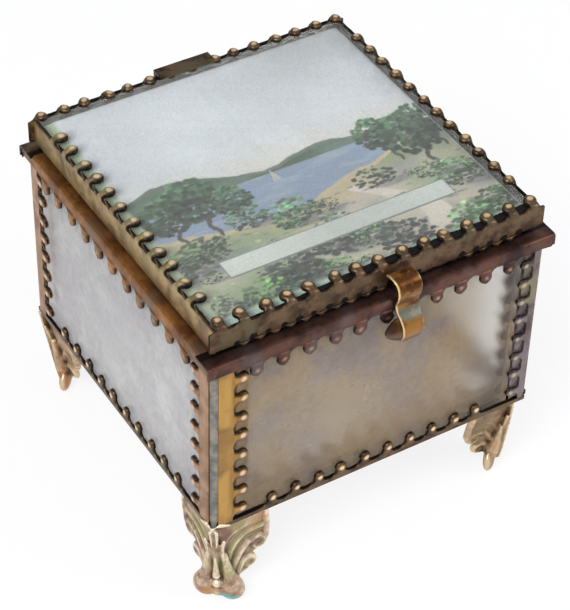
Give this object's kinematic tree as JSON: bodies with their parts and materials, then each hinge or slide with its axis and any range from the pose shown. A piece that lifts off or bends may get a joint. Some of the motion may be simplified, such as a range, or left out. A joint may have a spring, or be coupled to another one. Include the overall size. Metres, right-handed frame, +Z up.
{
  "type": "glass casket box",
  "caption": "Square casket with clear panes held by scalloped brass claw strips, on scrolled corner feet; hinged bevelled lid over a printed card, with a sprung clasp in front.",
  "frame": {"origin": "on the surface that the box stands on, under the middle of the body", "axes": "+X to the right, +Y to the back where the hinge is, +Z up; the clasp is in front at -Y"},
  "size_m": [0.0668, 0.0702, 0.0611],
  "materials": {
    "wall_glass": "clear, faintly grey, polished",
    "lid_glass": "clear, bevelled edge, polished",
    "dark_brass": "aged dark brown, rubbed bright on the claws",
    "aged_brass": "aged tan brown, satin",
    "gold_brass": "warm gold, worn, satin",
    "solder": "grey solder, rippled, dull",
    "foot_gilt": "pinkish worn gilding with dark hollows",
    "print": "faded colour print on card",
    "board": "plain paper-covered board"
  },
  "bodies": {
    "casket": {"front_pane": "wall_glass", "right_pane": "wall_glass", "back_pane": "wall_glass", "left_pane": "wall_glass", "floor_pane": "wall_glass", "front_rim_strip": "dark_brass", "right_rim_strip": "dark_brass", "back_rim_strip": "dark_brass", "left_rim_strip": "dark_brass", "front_bottom_strip": "aged_brass", "right_bottom_strip": "aged_brass", "back_bottom_strip": "aged_brass", "left_bottom_strip": "aged_brass", "front_left_upright": "gold_brass", "front_right_upright": "gold_brass", "right_left_upright": "aged_brass", "right_right_upright": "aged_brass", "back_left_upright": "aged_brass", "back_right_upright": "aged_brass", "left_left_upright": "aged_brass", "left_right_upright": "aged_brass", "floor_front_strip": "aged_brass", "floor_right_strip": "aged_brass", "floor_back_strip": "aged_brass", "floor_left_strip": "aged_brass", "seam_front_left": "solder", "seam_front_right": "solder", "seam_back_left": "solder", "seam_back_right": "solder", "foot_front_left": "foot_gilt", "foot_front_right": "foot_gilt", "foot_back_left": "foot_gilt", "foot_back_right": "foot_gilt", "hinge_body_leaf": "aged_brass", "hinge_pin": "gold_brass"},
    "lid": {"lid_pane": "lid_glass", "lid_picture": "print", "lid_backing": "board", "lid_front_strip": "dark_brass", "lid_right_strip": "dark_brass", "lid_back_strip": "dark_brass", "lid_left_strip": "dark_brass", "hinge_lid_leaf": "aged_brass"},
    "clasp": {"clasp": "gold_brass"}
  },
  "joints": [
    {"name": "lid_hinge", "type": "hinge", "parent": "casket", "child": "lid", "pos_m": [0, 0.0338, 0.0555], "axis": [-1, 0, 0], "range_deg": [0, 105]},
    {"name": "clasp_flex", "type": "hinge", "parent": "lid", "child": "clasp", "pos_m": [0.0035, -0.03095, 0.0583], "axis": [-1, 0, 0], "range_deg": [0, 8], "stiffness_Nm_per_rad": 0.1}
  ]
}
